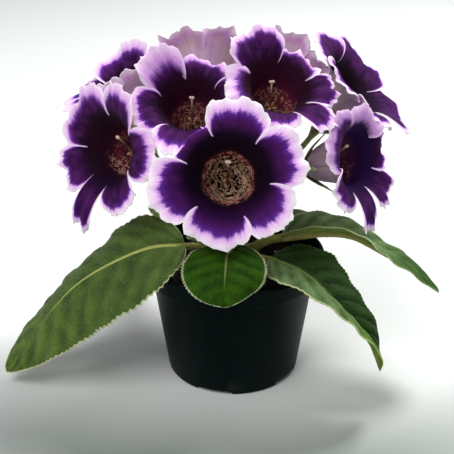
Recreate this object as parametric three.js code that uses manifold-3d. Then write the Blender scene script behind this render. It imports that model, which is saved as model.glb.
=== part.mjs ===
// A potted gloxinia: a nursery pot of potting mix, and a leafy crown with nine ruffled bell flowers.
// Millimetres, +Z up. The origin is the centre of the pot's underside, and the plant's front looks along -Y.
import * as THREE from 'three';
import { mergeVertices } from 'three/addons/utils/BufferGeometryUtils.js';
import Module from 'manifold-3d';

const wasm = await Module();
wasm.setup();

// The pot, its drain notches and the mix in it
const POT = {
  height: 84, rimRadius: 60, lipFoot: 72, shoulderRadius: 53.8, baseRadius: 44,
  wall: 1.4, floor: 2.4, sides: 36,
};
const DRAIN = { count: 5, width: 24, height: 3, slotRadius: 33, slotSize: 9, firstAngle: -107 };
const SOIL_TOP = 73;

// The crown is the short thick stem that carries every leaf and flower stalk
const CROWN = { radius: 9, topRadius: 8.4, hole: 9.4, foot: 58, top: 94 };

// Clearance between neighbouring pieces, sheet thicknesses and stem sizes
const GAP = 0.3;
const PETAL = 1.0;
const SEPAL = 0.9;
const BLADE = 1.0;
const STALK_RADIUS = 1.9;

// The bell's foot bends down by TUBE_BEND. A higher FLARE_POWER keeps the flare nearer to the mouth
const TUBE_BEND = 6;
const FLARE_POWER = 5;
const BELL_RINGS = [0.12, 0.6, 1];
const LOBE_STATIONS = [-1, -0.86, -0.4, 0.4, 0.86];

// A higher LOBE_FULLNESS squares a lobe off. A lobe would be LOBE_SPREAD times as wide as its sector, but it
// stops where it meets its neighbours
const LOBE_FULLNESS = 4;
const LOBE_SPREAD = 1.16;

const SEPALS = 5;
const SEPAL_LENGTH = 17;
const SEPAL_STATIONS = [-1, -0.4, 0.4];

// How far the margin of a blade hangs below its slope, as a share of its width
const DROOP = 0.12;

const DEG = Math.PI / 180;
const lerp = (a, b, t) => a + (b - a) * t;
const clamp01 = (t) => Math.min(1, Math.max(0, t));

// seat is the stalk's place on the crown's top, as [turn, reach], and mouth is the middle of the opening.
// facing is [turn, rise] in degrees: turn 0 looks along -Y and 90 along +X, and rise is above the horizon.
// ring is the radius at the notches between the lobes, throat the bell's own radius and depth its length.
// A lobe is [angle, reach, curl, lift, width]: its place round the mouth, its length past the notches, the
// tilt of its tip (0 spreads flat, minus rolls back), how far one side stands over its neighbour, and the
// width of its outer part where that isn't 1.
const FLOWERS = [
  {
    name: 'front', seat: [-90, 6.3], mouth: [-3.4, -42, 153], facing: [0, 20],
    ring: 25, throat: 15.5, depth: 38,
    lobes: [
      [82, 22, -18, -3], [17, 23, -15, -3], [-36, 20, -12, -3], [-98, 18.5, -22, 0],
      [-174, 24, -14, 3], [139, 14, -150, 0],
    ],
  },
  {
    name: 'upper_left', seat: [180, 2.3], mouth: [-27.5, 8, 181], facing: [-8, 52],
    ring: 19, throat: 13.5, depth: 36,
    lobes: [
      [132, 26, 25, 3, 0.95], [74, 17, -45, -3, 1.2], [6, 18, -30, 0], [-36, 17, -25, 0],
      [-87, 26, -15, 0], [199, 19, -20, 3],
    ],
  },
  {
    name: 'upper_right', seat: [0, 2.3], mouth: [27.5, 10, 191], facing: [20, 52],
    ring: 19.5, throat: 13.5, depth: 37,
    lobes: [
      [106, 24, 0, 3, 1.1], [172, 17, -50, 0, 0.9], [-93, 16, -25, 0], [-67, 27, -14, 2],
      [-24, 20, -38, 2, 0.9], [40, 14, -50, 0],
    ],
  },
  {
    name: 'left', seat: [188, 6.3], mouth: [-78, 4, 152], facing: [-45, 14],
    ring: 22, throat: 14, depth: 37,
    lobes: [
      [150, 24, -30, 2], [54, 25, 0, 3, 0.9], [19, 25, -35, -3], [-56, 21, -20, -3],
      [-110, 37, -32, 3, 0.5], [-133, 25, -25, 3],
    ],
  },
  {
    name: 'right', seat: [-24, 6.3], mouth: [77, 2, 147], facing: [54, 12],
    ring: 21, throat: 14, depth: 37,
    lobes: [
      [142, 19, -40, 0], [58, 14, -22, 3, 1.1], [-8, 14, -40, 3], [-57, 24, -20, 3],
      [-91, 28, -25, 0, 0.65], [-142, 18, -25, 3],
    ],
  },
  {
    name: 'right_back', seat: [19, 6.3], mouth: [81, 61, 176], facing: [80, 44],
    ring: 22, throat: 14, depth: 37,
    lobes: [
      [150, 22, -12, 3, 1.1], [101, 24, -18, 9, 1.2], [10, 28, -8, 0], [-77, 29, -22, 3],
      [-142, 22, -14, 3],
    ],
  },
  {
    name: 'left_back', seat: [141, 6.3], mouth: [-78, 70, 176], facing: [-98, 60],
    ring: 22, throat: 14, depth: 37,
    lobes: [
      [182, 25, 45, -4, 1.1], [100, 18, 0, 3], [54, 12, 30, 3], [0, 11, 60, 3], [-52, 20, -30, 3],
      [-103, 23, -20, 3],
    ],
  },
  {
    name: 'back', seat: [98, 6.3], mouth: [-22, 86, 184], facing: [-172, 42],
    ring: 20, throat: 13.5, depth: 37,
    lobes: [
      [120, 21, -20, 3], [60, 21, -20, 3], [0, 15, -60, 0], [-60, 22, -20, 3], [-120, 22, -15, 3],
      [180, 14, -80, 0],
    ],
  },
  {
    name: 'back_right', seat: [58, 6.3], mouth: [35, 86, 179], facing: [158, 36],
    ring: 20, throat: 13.5, depth: 37,
    lobes: [
      [105, 21, -15, 3], [45, 20, -20, 0], [-15, 14, -80, 0], [-75, 22, -20, 3],
      [-135, 22, -15, 3], [165, 17, -50, 0],
    ],
  },
];

// A leaf's seat is its stem's place on the crown, as [turn, height]. stem and rib are points along its stem
// and along its blade's midrib. base and taper say how bluntly the blade begins and how late it narrows.
// left and right are its halves seen from the crown: the widest reach, then the slopes in degrees at base,
// middle and tip (plus is raised). stout thickens its stem.
const LEAVES = [
  {
    name: 'left', teeth: 12, seat: [192, 84], base: 8, taper: 2.8,
    stem: [[-19, -9, 91]],
    rib: [[-31, -15, 95], [-51, -22, 97], [-72, -27, 91], [-98, -30, 76], [-118, -32, 55], [-150, -32, 10]],
    left: [36, -8, -48, -55], right: [37, 45, -42, 38],
  },
  {
    name: 'front', teeth: 11, seat: [-100, 85], base: 5, taper: 5,
    stem: [[0, -19, 99], [1, -34, 109], [-3, -47, 107]],
    rib: [[-3, -37, 107], [-4, -47, 105], [-5, -57, 99.5], [-5.5, -65, 91], [-5, -70, 81]],
    left: [25, 0, 5, 0], right: [27, 0, 0, 0],
  },
  {
    name: 'right_front', teeth: 11, seat: [-68, 83], base: 11, taper: 1.9,
    stem: [[12, -18, 88]],
    rib: [
      [24, -26, 92], [40, -36, 89], [49, -44, 86], [59, -50, 78],
      [76, -57, 61], [85, -60, 50], [92, -60, 30],
    ],
    left: [27, 15, 20, 22], right: [25, -8, 44, 15],
  },
  {
    name: 'right', teeth: 11, seat: [-34, 87], base: 4, taper: 5, stout: 1.2,
    stem: [[13, -11, 91], [21, -12, 96.5]],
    rib: [[32, -10, 99], [60, -5, 99.5], [78, -4, 96.5], [98, -7, 86.5], [115, -12, 78.5], [134, -18, 62.5]],
    left: [29, 40, -16, -14], right: [22, 52, 24, 12],
  },
  {
    name: 'back_left', teeth: 8, seat: [118, 84], base: 5, taper: 2.2,
    stem: [[-12, 22, 90]],
    rib: [[-20, 36, 95], [-32, 62, 93], [-44, 90, 78], [-52, 112, 52]],
    left: [28, 10, 0, -5], right: [28, 10, 0, -5],
  },
  {
    name: 'back_right', teeth: 8, seat: [62, 84], base: 5, taper: 2.2,
    stem: [[12, 22, 90]],
    rib: [[22, 34, 92], [38, 60, 86], [54, 86, 68], [64, 106, 42]],
    left: [27, 10, 0, -5], right: [27, 10, 0, -5],
  },
  {
    name: 'young', teeth: 5, seat: [228, 88], base: 4, taper: 2,
    stem: [[-11, -13, 94]],
    rib: [[-17, -20, 98], [-23, -27, 105], [-28, -33, 109]],
    left: [8, 30, 40, 40], right: [8, 30, 40, 40],
  },
];

// Turns a sheet of points and triangles into a closed shell. above and below give its thickness at a point.
function shellGeometry(points, triangles, above, below) {
  const normals = points.map(() => new THREE.Vector3());
  const edges = new Map();
  for (const [a, b, c] of triangles) {
    const normal = new THREE.Vector3().subVectors(points[b], points[a])
      .cross(new THREE.Vector3().subVectors(points[c], points[a]));
    for (const corner of [a, b, c]) normals[corner].add(normal);
    for (const [from, to] of [[a, b], [b, c], [c, a]]) edges.set(from + '_' + to, [from, to]);
  }
  const count = points.length;
  const position = new Float32Array(count * 6);
  points.forEach((point, i) => {
    const normal = normals[i].normalize();
    point.clone().addScaledVector(normal, above(i)).toArray(position, i * 3);
    point.clone().addScaledVector(normal, -below(i)).toArray(position, (count + i) * 3);
  });
  const index = [];
  for (const [a, b, c] of triangles) index.push(a, b, c, count + a, count + c, count + b);
  for (const [from, to] of edges.values()) {
    if (!edges.has(to + '_' + from)) index.push(to, from, count + to, count + to, from, count + from);
  }
  const geometry = new THREE.BufferGeometry();
  geometry.setAttribute('position', new THREE.BufferAttribute(position, 3));
  geometry.setIndex(index);
  return geometry;
}

// manifold-3d joins and cuts closed geometries
function solidOf(source) {
  const bare = source.index ? source.toNonIndexed() : source.clone();
  const open = new THREE.BufferGeometry().setAttribute('position', bare.getAttribute('position'));
  const merged = mergeVertices(open, 1e-4);
  return new wasm.Manifold(new wasm.Mesh({
    numProp: 3,
    vertProperties: merged.attributes.position.array,
    triVerts: new Uint32Array(merged.index.array),
  }));
}

function geometryOf(solid) {
  const mesh = solid.getMesh();
  const geometry = new THREE.BufferGeometry();
  geometry.setAttribute('position', new THREE.BufferAttribute(new Float32Array(mesh.vertProperties), 3));
  geometry.setIndex(Array.from(mesh.triVerts));
  return geometry;
}

const join = (...parts) => geometryOf(parts.map(solidOf).reduce((sum, part) => sum.add(part)));

// A tapering stem along a curve, closed at both ends
function stemGeometry(curve, steps, sides, radiusAt) {
  const position = [];
  const index = [];
  const frames = curve.computeFrenetFrames(steps, false);
  for (let i = 0; i <= steps; i++) {
    const centre = curve.getPointAt(i / steps);
    for (let k = 0; k < sides; k++) {
      const angle = (k / sides) * 2 * Math.PI;
      const reach = radiusAt(i / steps);
      centre.clone()
        .addScaledVector(frames.normals[i], reach * Math.cos(angle))
        .addScaledVector(frames.binormals[i], reach * Math.sin(angle))
        .toArray(position, position.length);
    }
  }
  const at = (i, k) => i * sides + (k % sides);
  for (let i = 0; i < steps; i++) {
    for (let k = 0; k < sides; k++) {
      index.push(at(i, k), at(i, k + 1), at(i + 1, k), at(i + 1, k), at(i, k + 1), at(i + 1, k + 1));
    }
  }
  for (let k = 1; k < sides - 1; k++) {
    index.push(at(0, 0), at(0, k + 1), at(0, k));
    index.push(at(steps, 0), at(steps, k), at(steps, k + 1));
  }
  const geometry = new THREE.BufferGeometry();
  geometry.setAttribute('position', new THREE.BufferAttribute(new Float32Array(position), 3));
  geometry.setIndex(index);
  return geometry;
}

// The flower's own frame: x to the right and y up as seen from its front, z out of its mouth
function flowerFrame({ mouth, facing }) {
  const [turn, rise] = facing.map((angle) => angle * DEG);
  const level = Math.cos(rise);
  const out = new THREE.Vector3(Math.sin(turn) * level, -Math.cos(turn) * level, Math.sin(rise));
  const up = new THREE.Vector3(0, 0, 1).addScaledVector(out, -out.z).normalize();
  const right = new THREE.Vector3().crossVectors(up, out);
  return new THREE.Matrix4().makeBasis(right, up, out).setPosition(...mouth);
}

// The bell's radius where share runs from 0 at its foot to 1 at the notches between its lobes
function bellRadius({ ring, throat }, share) {
  const body = throat * Math.sqrt(1 - (1 - share) ** 3);
  return body + (ring - throat) * share ** FLARE_POWER;
}

// A point of the bell, whose foot bends down towards the stalk
function bellPoint(flower, share, angle, outset) {
  const rise = flower.depth * (share - 1);
  const reach = bellRadius(flower, share) + outset;
  const sag = TUBE_BEND * (1 - share) ** 2;
  return new THREE.Vector3(reach * Math.cos(angle), reach * Math.sin(angle) - sag, rise);
}

// A sheet like a cup with lobes: a foot point, rings round it, and lobes that grow from the last ring.
// ringPoint(k, angle) gives a point of ring k. lobePoint(lobe, u, v, angle) gives a lobe's point, with u
// across it at the stations of across and v from 0 at the ring to 1 at the margin.
function cupSheet(foot, rings, ringPoint, lobes, across, along, lobePoint) {
  const points = [foot];
  const triangles = [];
  const columns = [];
  lobes.forEach((lobe) => {
    for (const u of across) {
      columns.push({ lobe, u, angle: lerp(lobe.from, lobe.to, (u + 1) / 2), notch: u === -1 });
    }
  });
  const round = columns.length;
  for (let k = 0; k < rings; k++) for (const column of columns) points.push(ringPoint(k, column.angle));
  const at = (k, i) => 1 + k * round + (i % round);
  for (let i = 0; i < round; i++) {
    triangles.push([0, at(0, i), at(0, i + 1)]);
    for (let k = 0; k < rings - 1; k++) {
      triangles.push([at(k, i), at(k + 1, i), at(k + 1, i + 1)], [at(k, i), at(k + 1, i + 1), at(k, i + 1)]);
    }
  }
  // Each column climbs from the last ring to the margin, and a notch column is its ring point alone
  const climbs = columns.map((column, i) => {
    const climb = [at(rings - 1, i)];
    if (!column.notch) {
      for (let k = 1; k <= along; k++) {
        climb.push(points.length);
        points.push(lobePoint(column.lobe, column.u, k / along, column.angle));
      }
    }
    return climb;
  });
  climbs.forEach((left, i) => {
    const right = climbs[(i + 1) % round];
    for (let k = 0; k < along; k++) {
      if (left.length === 1) triangles.push([left[0], right[k + 1], right[k]]);
      else if (right.length === 1) triangles.push([left[k], left[k + 1], right[0]]);
      else triangles.push([left[k], left[k + 1], right[k + 1]], [left[k], right[k + 1], right[k]]);
    }
  });
  return { points, triangles };
}

// Notches lie halfway between neighbouring lobes, going round by falling angle
function sectors(lobes) {
  const sorted = [...lobes].sort((a, b) => b[0] - a[0]);
  return sorted.map(([angle, reach, curl, lift, width = 1], i) => {
    const before = sorted[(i + sorted.length - 1) % sorted.length][0] + (i === 0 ? 360 : 0);
    const after = sorted[(i + 1) % sorted.length][0] - (i === sorted.length - 1 ? 360 : 0);
    const [from, to] = [before, after].map((other) => ((angle + other) / 2) * DEG);
    const spread = Math.min(1, LOBE_SPREAD * width);
    return { from, to, reach, curl: curl * DEG, lift, spread, phase: angle };
  });
}

// A lobe leaves the bell at its flare and bends evenly to its tip's tilt, and it waves towards its margin
function lobePoint(flower, lobe, u, v) {
  const start = Math.atan(flower.depth / (FLARE_POWER * (flower.ring - flower.throat)));
  const bend = lobe.curl - start;
  const around = (1 - Math.abs(u) ** LOBE_FULLNESS) ** 0.5;
  const outline = around * (1 - 0.06 * u * u + 0.03 * Math.sin(7 * u + lobe.phase));
  const share = v * outline;
  const tilt = start + bend * share;
  const reach = flower.ring + (lobe.reach / bend) * (Math.sin(tilt) - Math.sin(start));
  const rise = (-lobe.reach / bend) * (Math.cos(tilt) - Math.cos(start));
  const wave = 1.6 * outline * v ** 2 * Math.sin(2.2 * Math.PI * u + lobe.phase);
  const off = share ** 0.7 * lobe.lift * u ** 3 + share * 1.5 * u * u + wave;
  const away = reach - off * Math.sin(tilt);
  const spread = 1 + (lobe.spread - 1) * (1 - (1 - clamp01(share)) ** 3);
  const angle = (lobe.from + lobe.to) / 2 - ((lobe.from - lobe.to) / 2) * u * spread;
  return new THREE.Vector3(away * Math.cos(angle), away * Math.sin(angle), rise + off * Math.cos(tilt));
}

function corollaGeometry(flower) {
  const sheet = cupSheet(
    bellPoint(flower, 0, 0, 0), BELL_RINGS.length,
    (k, angle) => bellPoint(flower, BELL_RINGS[k], angle, 0),
    sectors(flower.lobes), LOBE_STATIONS, 3,
    (lobe, u, v) => lobePoint(flower, lobe, u, v),
  );
  return shellGeometry(sheet.points, sheet.triangles, () => PETAL / 2, () => PETAL / 2)
    .applyMatrix4(flowerFrame(flower));
}

// Five pointed sepals hug the bell's foot and stand off towards their tips
function calyxGeometry(flower) {
  const outset = PETAL / 2 + GAP + SEPAL / 2 + 0.2;
  const rings = [0.03, 0.12];
  const turn = (-360 / SEPALS) * DEG;
  const sepals = Array.from({ length: SEPALS }, (_, i) => ({ from: i * turn, to: (i + 1) * turn }));
  const sheet = cupSheet(
    bellPoint(flower, 0, 0, 0).add(new THREE.Vector3(0, 0, -outset - 0.3)), rings.length,
    (k, angle) => bellPoint(flower, rings[k], angle, outset).add(new THREE.Vector3(0, 0, -0.6)),
    sepals, SEPAL_STATIONS, 2, (sepal, u, v) => {
      const climb = v * (1 - Math.abs(u) ** 1.4) * (SEPAL_LENGTH / flower.depth);
      const middle = (sepal.from + sepal.to) / 2;
      const angle = middle + (sepal.to - middle) * u * (1 - 0.75 * v);
      return bellPoint(flower, rings[1] + climb, angle, outset + 14 * climb ** 1.5)
        .add(new THREE.Vector3(0, 0, -0.6));
    },
  );
  return shellGeometry(sheet.points, sheet.triangles, () => SEPAL / 2, () => SEPAL / 2)
    .applyMatrix4(flowerFrame(flower));
}

// The stalk stands on the crown's top and curves into the calyx
function stalkCurve(flower) {
  const frame = flowerFrame(flower);
  const foot = new THREE.Vector3(0, -TUBE_BEND, -flower.depth - 1.9).applyMatrix4(frame);
  const away = new THREE.Vector3(0, -2 * TUBE_BEND, -flower.depth).transformDirection(frame);
  const [turn, reach] = flower.seat;
  const side = new THREE.Vector3(Math.cos(turn * DEG), Math.sin(turn * DEG), 0);
  const seat = side.clone().multiplyScalar(reach).setZ(CROWN.top + GAP);
  const span = seat.distanceTo(foot);
  const above = seat.clone().add(new THREE.Vector3(0, 0, span * 0.35));
  return new THREE.CubicBezierCurve3(seat, above, foot.clone().addScaledVector(away, span * 0.32), foot);
}

function stalkGeometry(flower) {
  const swell = (t) => STALK_RADIUS + 2.2 * clamp01((t - 0.93) / 0.07);
  return join(calyxGeometry(flower), stemGeometry(stalkCurve(flower), 8, 5, swell));
}

// A pale style with a knob stands in the bell, with the joined anthers round it
function pistilGeometry(flower) {
  const frame = flowerFrame(flower);
  const at = (share) => new THREE.Vector3(0, -TUBE_BEND * (1 - share) ** 2, flower.depth * (share - 1));
  const style = new THREE.CatmullRomCurve3([at(0.075), at(0.4), at(0.8)]);
  const knob = new THREE.SphereGeometry(1.9, 5, 3).translate(...at(0.8));
  const anthers = new THREE.CylinderGeometry(4.2, 3, 3, 6).rotateX(Math.PI / 2).translate(...at(0.55));
  const stem = stemGeometry(style, 3, 5, (t) => lerp(1.9, 0.9, Math.sqrt(t)));
  return join(stem, knob, anthers).applyMatrix4(frame);
}

// Where the blade is at t along its rib and side across it, from -1 at its left margin to 1 at its right one
function bladePoint(leaf, rib, t, side, toothed) {
  const ahead = rib.getTangentAt(t);
  const across = new THREE.Vector3(ahead.y, -ahead.x, 0).normalize();
  const up = new THREE.Vector3().crossVectors(across, ahead);
  const [width, base, middle, tip] = side > 0 ? leaf.right : leaf.left;
  const slope = ((1 - t) ** 2 * base + 2 * t * (1 - t) * middle + t * t * tip) * DEG;
  const outline = (1 - (1 - t) ** leaf.base) ** 0.6 * (1 - t ** leaf.taper) ** 0.8;
  const reach = Math.abs(side) * width * outline * (toothed ? 1.03 : 0.98);
  return rib.getPointAt(t)
    .addScaledVector(across, Math.sign(side) * reach * Math.cos(slope))
    .addScaledVector(up, reach * Math.sin(slope) - (DROOP * reach * reach) / width);
}

function bladeGeometry(leaf) {
  const rib = new THREE.CatmullRomCurve3(leaf.rib.map((point) => new THREE.Vector3(...point)));
  const rows = 2 * leaf.teeth;
  const half = 2;
  const points = [];
  const below = [];
  const triangles = [];
  const at = [];
  for (let i = 0; i <= rows; i++) {
    const row = [];
    for (let j = -half; j <= half; j++) {
      const end = i === 0 || i === rows;
      if (end && j > -half) {
        row.push(row[0]);
        continue;
      }
      row.push(points.length);
      points.push(bladePoint(leaf, rib, i / rows, end ? 0 : j / half, i % 2 === 1));
      below.push(end || j === 0 ? lerp(1.8, 0.6, i / rows) : BLADE / 2);
    }
    at.push(row);
  }
  for (let i = 0; i < rows; i++) {
    for (let j = 0; j < 2 * half; j++) {
      const [a, b, c, d] = [at[i][j], at[i][j + 1], at[i + 1][j + 1], at[i + 1][j]];
      if (a !== b) triangles.push([a, b, c]);
      if (c !== d) triangles.push([a, c, d]);
    }
  }
  return shellGeometry(points, triangles, () => BLADE / 2, (i) => below[i]);
}

// The leaf's stem leaves the crown's side squarely and ends inside the blade's rib
function leafGeometry(leaf) {
  const [turn, height] = leaf.seat;
  const girth = Math.min(1, leaf.right[0] / 20) * (leaf.stout ?? 1);
  const seat = (reach) => [reach * Math.cos(turn * DEG), reach * Math.sin(turn * DEG), height + reach * 0.1];
  const points = [seat(CROWN.radius + GAP), seat(CROWN.radius + 3), ...leaf.stem, leaf.rib[0]];
  const path = points.map((point) => new THREE.Vector3(...point));
  path[path.length - 1].lerp(new THREE.Vector3(...leaf.rib[1]), 0.25).z -= 0.8;
  const stem = stemGeometry(new THREE.CatmullRomCurve3(path), 6, 6, (t) => lerp(2.8, 1.8, t) * girth);
  return join(bladeGeometry(leaf), stem);
}

function lathe(profile, sides) {
  const outline = profile.map(([radius, z]) => new THREE.Vector2(radius, z));
  return new THREE.LatheGeometry(outline, sides).rotateX(Math.PI / 2);
}

// The pot's wall tapers straight down from its shoulder, and the rolled lip stands out above it
function potGeometry() {
  const { height, rimRadius, baseRadius, lipFoot, shoulderRadius, wall, floor, sides } = POT;
  const body = lathe([
    [0, 0], [baseRadius - 1, 0], [baseRadius, 1.2],
    [shoulderRadius, lipFoot - 0.6], [rimRadius - 1.4, lipFoot],
    [rimRadius - 0.3, height - 2], [rimRadius, height - 0.8], [rimRadius - 0.8, height],
    [rimRadius - 2.2, height], [rimRadius - 1.4 - wall * 1.2, lipFoot + wall],
    [shoulderRadius - wall, lipFoot + wall - 0.8], [baseRadius - wall, floor], [0, floor],
  ], sides);
  let pot = solidOf(body);
  for (let i = 0; i < DRAIN.count; i++) {
    const angle = (DRAIN.firstAngle + (i * 360) / DRAIN.count) * DEG;
    const notch = new THREE.BoxGeometry(9, DRAIN.width, DRAIN.height * 2)
      .translate(baseRadius, 0, 0).rotateZ(angle);
    const slot = new THREE.CylinderGeometry(DRAIN.slotSize / 2, DRAIN.slotSize / 2, 20, 10)
      .rotateX(Math.PI / 2).translate(DRAIN.slotRadius, 0, 0).rotateZ(angle);
    pot = pot.subtract(solidOf(notch)).subtract(solidOf(slot));
  }
  return geometryOf(pot);
}

// The mix fills the pot to a finger's breadth below its rim and heaps a little round the crown
function soilGeometry() {
  const { baseRadius, shoulderRadius, lipFoot, wall, floor } = POT;
  const taper = (z) => (z - floor) / (lipFoot - floor);
  const inner = (z) => lerp(baseRadius, shoulderRadius, taper(z)) - wall - 2 * GAP;
  const geometry = lathe([
    [0, floor + GAP], [inner(floor + GAP), floor + GAP], [inner(SOIL_TOP - 4), SOIL_TOP - 4],
    [inner(SOIL_TOP) * 0.7, SOIL_TOP - 0.5], [inner(SOIL_TOP) * 0.4, SOIL_TOP + 1], [0, SOIL_TOP + 1.5],
  ], 32);
  const hole = new THREE.CylinderGeometry(CROWN.hole, CROWN.hole, 40, 20).rotateX(Math.PI / 2)
    .translate(0, 0, CROWN.foot - GAP + 20);
  return geometryOf(solidOf(geometry).subtract(solidOf(hole)));
}

function crownGeometry() {
  const { radius, topRadius, foot, top } = CROWN;
  return lathe([
    [0, foot], [radius - 2, foot], [radius, foot + 4], [radius, top - 4], [topRadius, top], [0, top],
  ], 16);
}

const FINISHES = {
  pot: { color: 0x1d2b2a, roughness: 0.5 },
  soil: { color: 0x2a1e16, roughness: 1 },
  stem: { color: 0x6f7a35, roughness: 0.7 },
  leaf: { color: 0x3d5a2b, roughness: 0.7 },
  petal: { color: 0x4b1a72, roughness: 0.75 },
  pistil: { color: 0xe6d3a8, roughness: 0.6 },
};

function piece(name, geometry, finish) {
  const material = new THREE.MeshStandardMaterial({ ...FINISHES[finish], metalness: 0 });
  const mesh = new THREE.Mesh(geometry, material);
  mesh.name = name;
  return mesh;
}

const gloxinia = new THREE.Group();
gloxinia.add(piece('pot', potGeometry(), 'pot'));
gloxinia.add(piece('soil', soilGeometry(), 'soil'));
gloxinia.add(piece('crown', crownGeometry(), 'stem'));
for (const leaf of LEAVES) gloxinia.add(piece('leaf_' + leaf.name, leafGeometry(leaf), 'leaf'));
for (const flower of FLOWERS) {
  gloxinia.add(piece('corolla_' + flower.name, corollaGeometry(flower), 'petal'));
  gloxinia.add(piece('stalk_' + flower.name, stalkGeometry(flower), 'stem'));
  gloxinia.add(piece('pistil_' + flower.name, pistilGeometry(flower), 'pistil'));
}

export default gloxinia;
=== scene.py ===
"""A potted gloxinia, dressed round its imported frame.

Lengths are millimetres until a mesh is made. The frame has +X to the right seen from the plant's front, +Y
away from the viewer and +Z up, with the origin at the centre of the pot's underside.
"""

from math import atan, cos, pi, radians, sin

import bpy
import numpy as np
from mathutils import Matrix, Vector, noise


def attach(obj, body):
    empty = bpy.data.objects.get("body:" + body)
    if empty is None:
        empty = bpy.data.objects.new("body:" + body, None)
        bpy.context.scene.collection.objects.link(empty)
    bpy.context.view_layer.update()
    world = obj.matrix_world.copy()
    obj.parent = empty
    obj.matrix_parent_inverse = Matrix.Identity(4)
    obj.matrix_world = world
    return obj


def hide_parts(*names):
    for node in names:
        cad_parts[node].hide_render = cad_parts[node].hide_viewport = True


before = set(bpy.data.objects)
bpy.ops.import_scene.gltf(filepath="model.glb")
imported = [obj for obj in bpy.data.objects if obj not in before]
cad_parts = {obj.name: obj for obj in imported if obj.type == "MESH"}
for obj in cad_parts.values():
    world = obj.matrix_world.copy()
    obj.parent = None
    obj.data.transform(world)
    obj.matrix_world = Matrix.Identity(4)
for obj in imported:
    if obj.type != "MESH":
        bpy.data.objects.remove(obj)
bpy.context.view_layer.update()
scene = bpy.context.scene
random = np.random.default_rng(7)
MM = 0.001

# The pot, the mix in it, and the crown that carries the plant and stands in a hole in the mix
POT = dict(height=84, rim=60, lip_foot=72, shoulder=53.8, base=44, wall=1.4, floor=2.4)
DRAIN = dict(count=5, width=24, height=3, slot_radius=33, slot_size=9, first_angle=-107)
SOIL_TOP = 73
SOIL_CEILING = 75.4
CROWN = dict(radius=9, foot=58, top=94, hole=9.4, hole_foot=57.7)
GAP = 0.3

# What all flowers share: a stalk that ends behind the bell's foot, a bell that sags and flares, five sepals
# that hug it, and lobes that overlap
STALK_RADIUS = 1.9
STALK_END = 1.9
TUBE_BEND = 6
FLARE_POWER = 5
SEPALS = dict(count=5, length=17, outset=1.45, set_back=0.6, half=0.38)
LOBE_FULLNESS = 4
OVERLAP = 1.16
PETAL_HALF = 0.32
# The style's middle line, as (share of the bell's depth, height above its axis)
STYLE = [(0.075, 0), (0.45, 1.5), (0.85, 8.5)]
# A blade's half thickness, and how far it droops away from its midrib
BLADE_HALF = 0.3
DROOP = 0.12

# How fine the meshes are, and how many hairs and crumbs they carry
LOBE_COLUMNS = 44
LOBE_ROWS = 24
BELL_SHARES = np.concatenate([[0.012, 0.035, 0.07], np.linspace(0.12, 1, 17)])
SEPAL_COLUMNS = 14
SEPAL_ROWS = 14
CALYX_SHARES = [0.01, 0.03, 0.06, 0.09, 0.12]
STALK_STEPS = 60
STEM_STEPS = 48
STEM_SIDES = 18
BLADE_ROWS = 160
BLADE_HALF_COLUMNS = 20
CROWN_ROWS = 61
CROWN_SIDES = 64
POT_SIDES = 160
SOIL_SIDES = 150
HAIRS = dict(calyx=900, stalk=1500, margin=1500, stem=700, crown=900)
CRUMBS = 420

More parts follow.
